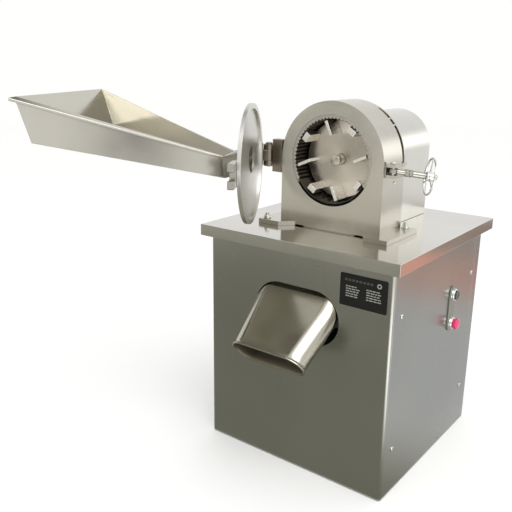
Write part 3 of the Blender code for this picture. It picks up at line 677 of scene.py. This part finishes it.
def make_cap_nut():
    """The nut that holds the disc, closed over the shaft's end by a shallow cap."""
    low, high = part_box("hub_nut")
    radius = (high.x - low.x) / 2
    profile = [
        (0.0083, high.y), (radius, high.y), (radius, low.y + 0.0022), (radius - 0.0007, low.y + 0.0009),
        (radius - 0.0022, low.y + 0.0002), (radius * 0.5, low.y), (0.0006, low.y),
        (0.0006, low.y + 0.0050), (0.0083, low.y + 0.0055),
    ]
    piece("hub_cap_nut", turned(profile, "Y", 64, (SHAFT.x, SHAFT.z), bored=True), "rotor",
          "rotor", ("hub_nut",))


def make_guard_bolt(number):
    """A spacer with a round collar at each end."""
    node = f"guard_spacer_{number}"
    low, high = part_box(node)
    centre = ((low.x + high.x) / 2, (low.z + high.z) / 2)
    radius = (high.z - low.z) / 2
    sleeve = [
        (radius * 0.7, low.y), (radius, low.y), (radius, low.y + 0.0017), (radius * 0.72, low.y + 0.0019),
        (radius * 0.72, high.y - 0.0019), (radius, high.y - 0.0017), (radius, high.y), (radius * 0.7, high.y),
    ]
    piece(f"{node}_collared", turned(sleeve, "Y", 24, centre), "zinc", replaces=(node,))


def hexagon_nut(across, low, high, bore, chamfer=0.0008):
    """A hexagonal nut about Z, chamfered at both ends, with a round bore."""
    corner = across / math.sqrt(3)
    def ring(radius, z, hexagonal):
        points = []
        for a in (math.tau * k / 48 for k in range(48)):
            limit = across / 2 / math.cos((a % (math.tau / 6)) - math.tau / 12) if hexagonal else radius
            points.append((min(limit, radius) * math.cos(a), min(limit, radius) * math.sin(a), z))
        return points
    rings = [
        ring(bore, low, False), ring(across / 2 - 0.0002, low, False), ring(corner, low + chamfer, True),
        ring(corner, high - chamfer, True), ring(across / 2 - 0.0002, high, False), ring(bore, high, False),
    ]
    return lofted(rings, closed=True)


def threaded(radius, low, high, pitch=0.00125, axis="Z", sides=32):
    """A stud with the crests and roots of its thread, rounded off at the free end."""
    profile = [(radius * 0.86, low)]
    z = low
    while z + pitch < high - 0.0012:
        profile += [(radius, z + pitch * 0.4), (radius, z + pitch * 0.55), (radius * 0.87, z + pitch)]
        z += pitch
    profile += [(radius * 0.96, z + 0.0004), (radius * 0.9, high - 0.0005), (radius * 0.6, high)]
    return turned(profile, axis, sides)


def make_foot_bolts():
    """A stud through each foot, with a washer and a nut."""
    for side in ("left", "right"):
        node = f"{side}_foot_bolt"
        low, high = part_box(node)
        place = Matrix.Translation(((low.x + high.x) / 2, (low.y + high.y) / 2, low.z))
        height = high.z - low.z
        washer = [(0.0052, 0), (0.0088, 0), (0.0090, 0.0003), (0.0090, 0.0013), (0.0087, 0.0016),
                  (0.0052, 0.0016)]
        shapes = [
            turned(washer, "Z", 40, bored=True), hexagon_nut(0.0132, 0.0016, 0.0078, 0.0050),
            threaded(0.0050, 0.0002, height),
        ]
        stack = joined([moved(shape, place) for shape in shapes])
        piece(f"{node}_stack", stack, "zinc", replaces=(node,))


def make_housing_details():
    """A small plug screw low on the housing's right side."""
    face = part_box("clevis")[0].x - GAP
    profile = [(0.0042, face + 0.0001), (0.0042, face + 0.0012), (0.0036, face + 0.0020),
               (0.0022, face + 0.0020), (0.0019, face + 0.0012), (0.0004, face + 0.0012)]
    piece("side_plug", turned(profile, "X", 32, SIDE_PLUG_YZ), "zinc")


# ---- the door


def corner_of(node, direction):
    """The vertex of a node that lies furthest along a direction."""
    return max((v.co for v in NODES[node].data.vertices), key=lambda co: co.dot(direction)).copy()


def make_door():
    rounded("door_plate", 0.0010, "door", angle=24)
    # the arm, hinge bracket and pin carry painted shade in darker steel
    rounded("door_arm", 0.0013, "painted_shade_steel")
    rounded("clamp_lug", 0.0016, "bolt")
    rounded("inlet_neck", 0.0005, "satin", angle=60)
    rounded("hinge_bracket", 0.0014, "painted_shade_steel")
    rounded("hinge_pin", 0.0006, "painted_shade_steel")
    make_hopper()


def make_hopper():
    """Folded sheet with a level lip, hemmed at its edge, along both sides and the far end."""
    turn = door_frame().to_3x3()
    across, out, up = turn @ Vector((1, 0, 0)), turn @ Vector((0, -1, 0)), Vector((0, 0, 1))
    def corner(side, far, height):
        return corner_of("hopper", side * across + (1.2 if far else -3.0) * out + height * 3.0 * up)

    low = {(s, f): corner(s, f, -1) for s in (-1, 1) for f in (0, 1)}
    rim = {(s, f): corner(s, f, 1) for s in (-1, 1) for f in (0, 1)}
    side_run = {s: (rim[s, 1] - rim[s, 0]).normalized() for s in (-1, 1)}
    end_run = (rim[1, 1] - rim[-1, 1]).normalized()
    inward = {s: (end_run * -s - side_run[s] * (end_run * -s).dot(side_run[s])).normalized() for s in (-1, 1)}
    for s in (-1, 1):
        for f in (0, 1):
            rim[s, f] += inward[s] * LIP_INSET - Vector((0, 0, LIP_INSET)) - f * side_run[s] * LIP_INSET
    top = {}
    for s in (-1, 1):
        top[s, 0] = rim[s, 0] + inward[s] * HOPPER_LIP
        slide = (HOPPER_LIP * 1.1) / abs(end_run.cross(side_run[s]).length)
        top[s, 1] = rim[s, 1] + inward[s] * HOPPER_LIP - side_run[s] * slide
    hem = {place: point - Vector((0, 0, HOPPER_HEM)) for place, point in rim.items()}
    mesh = bmesh.new()
    vert = {}
    for key, points in (("low", low), ("top", top), ("rim", rim), ("hem", hem)):
        for place, point in points.items():
            vert[key, place] = mesh.verts.new(point)
    def face(*corners):
        return mesh.faces.new([vert[c] for c in corners])
    near_left, near_right, far_left, far_right = (-1, 0), (1, 0), (-1, 1), (1, 1)
    floor = face(("low", near_left), ("low", near_right), ("low", far_right), ("low", far_left))
    for a, b in ((near_left, far_left), (far_left, far_right), (far_right, near_right)):
        face(("low", a), ("low", b), ("top", b), ("top", a))
        face(("top", a), ("top", b), ("rim", b), ("rim", a))
        face(("rim", a), ("rim", b), ("hem", b), ("hem", a))
    bmesh.ops.recalc_face_normals(mesh, faces=mesh.faces[:])
    if floor.normal.z > 0:
        bmesh.ops.reverse_faces(mesh, faces=mesh.faces[:])
    thing = add_object("hopper_folded", mesh)
    thicken = thing.modifiers.new("Sheet", "SOLIDIFY")
    thicken.thickness = HOPPER_SHEET
    thicken.offset = -1
    thicken.use_even_offset = True
    apply_modifiers(thing)
    shape = bmesh.new()
    shape.from_mesh(thing.data)
    bpy.data.objects.remove(thing)
    piece("hopper_folded", shape, "hopper", "door", ("hopper",), round_off=0.0007, angle=18)


# ---- the swing bolt


def make_swing_bolt():
    place = bolt_frame()
    clevis = rounded("clevis", 0.0011, "satin")
    # the faces inside the clevis slot are near black, painted shade
    reface(clevis, "painted_shade", lambda face: abs(face.center.z - PIVOT.z) < 0.0068 and abs(face.normal.y) < 0.5)
    rounded("clevis_pin", 0.0004, "zinc")
    eye = [(0.0053, -0.0040), (0.0058, -0.0045), (0.0083, -0.0045), (0.0090, -0.0037), (0.0090, 0.0037),
           (0.0083, 0.0045), (0.0058, 0.0045), (0.0053, 0.0040)]
    shank = [(BOLT_RADIUS, 0.0080), (BOLT_RADIUS, 0.0640), (BOLT_RADIUS, 0.0920), (0.0044, 0.0935),
             (0.0020, 0.0940)]
    sleeve = [(BOLT_BORE, 0.041), (0.0064, 0.041), (0.0068, 0.0415), (0.0068, 0.0685), (0.0062, 0.0692),
              (BOLT_BORE, 0.0692)]
    washer = [(BOLT_BORE, 0.0245), (0.0070, 0.0245), (0.0070, 0.0259), (BOLT_BORE, 0.0259)]
    upright = Matrix.Rotation(math.radians(90), 4, "Y")
    shapes = [
        turned(eye, "Z", 48, bored=True),
        turned(shank, "X", 40),
        turned(sleeve, "X", 40, bored=True),
        turned(washer, "X", 40, bored=True),
        moved(hexagon_nut(BOLT_NUT_ACROSS, 0.0260, 0.0330, BOLT_RADIUS), upright),
        moved(hexagon_nut(BOLT_NUT_ACROSS, 0.0340, 0.0405, BOLT_RADIUS), upright),
    ]
    piece("swing_bolt_assembled", moved(joined(shapes), place), "bolt", "swing_bolt",
          ("swing_bolt",), round_off=0.0003)
    make_handwheel(place)


def make_handwheel(bolt_place):
    hub = [(0.0053, -0.0080), (0.0085, -0.0080), (0.0094, -0.0072), (0.0100, -0.0060), (0.0100, 0.0060),
           (0.0094, 0.0072), (0.0085, 0.0080), (0.0053, 0.0080)]
    rim = [(WHEEL_RADIUS + a, b) for a, b in circle(WHEEL_TUBE, 16)]
    shapes = [turned(hub, "X", 48, bored=True), turned(rim, "X", 96, bored=True)]
    for n in range(3):
        profile = [(0.0030, 0.0085), (0.0024, 0.012), (0.0019, 0.020), (0.0018, 0.030), (0.0022, 0.0375)]
        spoke = turned(profile, "Z", 20)
        shapes.append(moved(spoke, Matrix.Rotation(math.radians(120 * n), 4, "X")))
    wheel = moved(joined(shapes), bolt_place @ Matrix.Translation((WHEEL_AT, 0, 0)))
    piece("handwheel_turned", wheel, "chrome", "handwheel", ("handwheel",))


# ---- the drive, inside the cabinet and the guard


def make_drive():
    refinish("motor", "motor_body", "motor_end_shield", "motor_fan_cover")
    refinish("iron", "motor_base", "motor_pulley", "shaft_pulley")
    refinish("zinc", "motor_shaft", "front_bearing", "rear_bearing")
    refinish("rubber", "front_belt", "rear_belt")


# ---- the stage


def soft_edges(tree, softness):
    """1 over the middle of a card, falling to 0 at its edges."""
    place = add_node(tree, "ShaderNodeSeparateXYZ",
                     [("Vector", add_node(tree, "ShaderNodeTexCoord").outputs["Generated"])])
    sides = []
    for axis in "XY":
        from_edge = calculated(tree, "PINGPONG", place.outputs[axis], 0.5)
        fade = add_node(
            tree, "ShaderNodeMapRange",
            [("Value", from_edge), ("From Max", softness / 2)], interpolation_type="SMOOTHSTEP",
        )
        sides.append(fade.outputs["Result"])
    return calculated(tree, "MULTIPLY", *sides)


def emitter(name, colour, strength, softness):
    material = bpy.data.materials.new(name)
    material.use_nodes = True
    tree = material.node_tree
    tree.nodes.clear()
    light = add_node(tree, "ShaderNodeEmission", [("Color", (*colour, 1)), ("Strength", strength)])
    clear = add_node(tree, "ShaderNodeBsdfTransparent")
    blend = add_node(tree, "ShaderNodeMixShader", [("Fac", soft_edges(tree, softness))])
    tree.links.new(clear.outputs["BSDF"], blend.inputs[1])
    tree.links.new(light.outputs["Emission"], blend.inputs[2])
    output = add_node(tree, "ShaderNodeOutputMaterial")
    tree.links.new(blend.outputs["Shader"], output.inputs["Surface"])
    return material


def card(name, centre, facing, width, height, colour, strength=1.0, softness=0.35):
    """A studio card with soft edges that shows only in reflections."""
    outline = [(i * width / 2, j * height / 2) for i, j in ((-1, -1), (1, -1), (1, 1), (-1, 1))]
    mesh = bmesh.new()
    mesh.faces.new([mesh.verts.new((a, b, 0)) for a, b in outline])
    thing = add_object(name, mesh)
    thing.data.materials.append(emitter(name, colour, strength, softness))
    direction = Vector(facing).normalized()
    thing.matrix_world = Matrix.Translation(centre) @ direction.to_track_quat("Z", "Y").to_matrix().to_4x4()
    thing.visible_camera = False
    thing.visible_diffuse = False
    thing.visible_shadow = False


def make_stage():
    floor = bmesh.new()
    floor.faces.new([floor.verts.new((a, b, 0)) for a, b in circle(9.0, 96)])
    ground = add_object("studio_floor", floor)
    material, tree, shader = new_material("studio_floor", 0.85, 0.0)
    coordinates = add_node(tree, "ShaderNodeTexCoord").outputs["Object"]
    cloud = stretched_noise(tree, coordinates, (3, 3, 3), 2.0)
    colour = mixed_colour(tree, cloud, (0.93, 0.93, 0.925), (0.95, 0.95, 0.945))
    tree.links.new(colour, shader.inputs["Base Color"])
    shader.inputs["Specular IOR Level"].default_value = 0.1
    shader.inputs["Emission Color"].default_value = (1, 1, 1, 1)
    shader.inputs["Emission Strength"].default_value = 0.05
    ground.data.materials.append(material)

    world = bpy.data.worlds.new("studio")
    bpy.context.scene.world = world
    world.use_nodes = True
    tree = world.node_tree
    background = tree.nodes["Background"]
    background.inputs["Color"].default_value = (1.0, 0.998, 0.99, 1)
    background.inputs["Strength"].default_value = 1.0

    up = (0, 0, 1)
    # dim floor ahead and to the left, which the front panel and then the housing's front mirror
    card("front_flag", (-0.75, -1.10, 0.004), up, 3.1, 2.6, (0.34, 0.345, 0.285))
    card("front_dim", (-2.0, -3.7, 0.006), up, 5.2, 3.6, (0.90, 0.875, 0.77))
    # bright floor ahead and to the right, which the front corner's bend mirrors
    card("corner_glow", (1.0, -0.62, 0.003), up, 1.3, 1.4, (1.0, 1.0, 0.98), 3.0)
    # dim upright card ahead and to the right, which the middle of the hopper's near side mirrors
    card("hopper_dim", (2.6, -2.6, 1.15), (-0.8, 0.6, -0.1), 0.8, 1.5, (0.06, 0.045, 0.03), softness=0.9)
    # dim floor behind, to the right, and warm brown cards over it, which the side panel and the slab's
    # edge mirror
    card("side_dim", (0.75, 0.95, 0.003), up, 1.3, 2.3, (0.76, 0.78, 0.79))
    card("rear_warm", (0.82, 1.40, 0.005), up, 0.8, 1.05, (0.90, 0.44, 0.33), softness=0.7)
    card("rear_brown", (1.05, 2.15, 0.007), up, 1.1, 1.4, (0.36, 0.28, 0.235), softness=0.6)
    # bright card behind, to the right, for the bright band down the housing's and the guard's shoulders
    card("rear_band", (2.0, 3.0, 1.15), (-0.5, -0.85, 0), 3.6, 1.7, (1.0, 0.995, 0.975), 1.9, softness=0.8)
    # dim upright card ahead and to the left, which the housing's front mirrors into the slab
    card("front_wall", (-2.0, -3.5, 1.6), (0.5, 0.85, 0), 4.6, 2.4, (0.44, 0.41, 0.34), softness=0.5)
    # dim card above and to the left, which the chute's flat top mirrors
    card("ceiling_flag", (-1.35, -0.45, 2.1), (0.55, 0.1, -0.8), 2.2, 2.2, (0.09, 0.08, 0.05))
    # bright card up to the right, which lights the chute's round side
    card("right_softbox", (2.2, -0.2, 2.2), (-0.7, 0, -0.7), 2.0, 2.0, (1.0, 0.99, 0.95), 3.4)

    key = bpy.data.lights.new("key", "AREA")
    key.energy = 30
    key.size = 2.0
    lamp = bpy.data.objects.new("key", key)
    lamp.location = (1.4, -1.2, 2.6)
    lamp.rotation_euler = (Vector((0, 0, 0.4)) - lamp.location).to_track_quat("-Z", "Y").to_euler()
    lamp.visible_camera = False
    bpy.context.scene.collection.objects.link(lamp)
    bpy.context.scene.view_settings.view_transform = "Standard"


def make_camera():
    ahead = Vector((
        -math.sin(CAMERA_AZIMUTH) * math.cos(CAMERA_PITCH),
        math.cos(CAMERA_AZIMUTH) * math.cos(CAMERA_PITCH),
        -math.sin(CAMERA_PITCH),
    ))
    level = Vector((math.cos(CAMERA_AZIMUTH), math.sin(CAMERA_AZIMUTH), 0))
    above = level.cross(ahead)
    right = level * math.cos(CAMERA_ROLL) + above * math.sin(CAMERA_ROLL)
    up = above * math.cos(CAMERA_ROLL) - level * math.sin(CAMERA_ROLL)
    camera = bpy.data.cameras.new("camera")
    camera.lens = CAMERA_LENS
    camera.sensor_width = CAMERA_SENSOR
    thing = bpy.data.objects.new("camera", camera)
    turn = Matrix((right, up, -ahead)).transposed().to_4x4()
    thing.matrix_world = Matrix.Translation(CAMERA_PLACE) @ turn
    bpy.context.scene.collection.objects.link(thing)
    bpy.context.scene.camera = thing


make_camera()
make_stage()
make_cabinet()
make_nameplate()
make_switches()
make_chute()
make_mill()
make_door()
make_swing_bolt()
make_drive()

bpy.context.view_layer.update()
